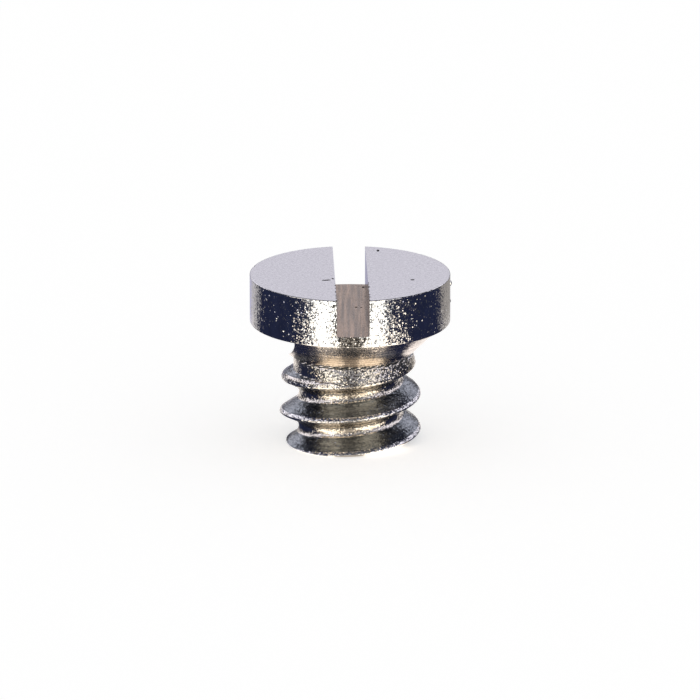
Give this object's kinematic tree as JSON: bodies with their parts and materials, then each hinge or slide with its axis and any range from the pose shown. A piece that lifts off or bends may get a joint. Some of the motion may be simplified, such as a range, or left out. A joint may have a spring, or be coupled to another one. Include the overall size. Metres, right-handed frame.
{
  "type": "watch screw",
  "caption": "Tiny slotted cylinder-head screw with a cone under the head, a coarse right-hand thread and a flat cut end.",
  "frame": {"origin": "centre of the cut end, on the axis, at the screw's base", "axes": "+Z along the axis from the cut end to the head; +Y along the slot to within 1.3 degrees"},
  "size_m": [0.0014, 0.0014, 0.0012],
  "materials": {
    "plated_steel": "satin nickel plate over steel, finely speckled, worn at the edges"
  },
  "bodies": {
    "root": {"screw": "plated_steel"}
  },
  "joints": []
}
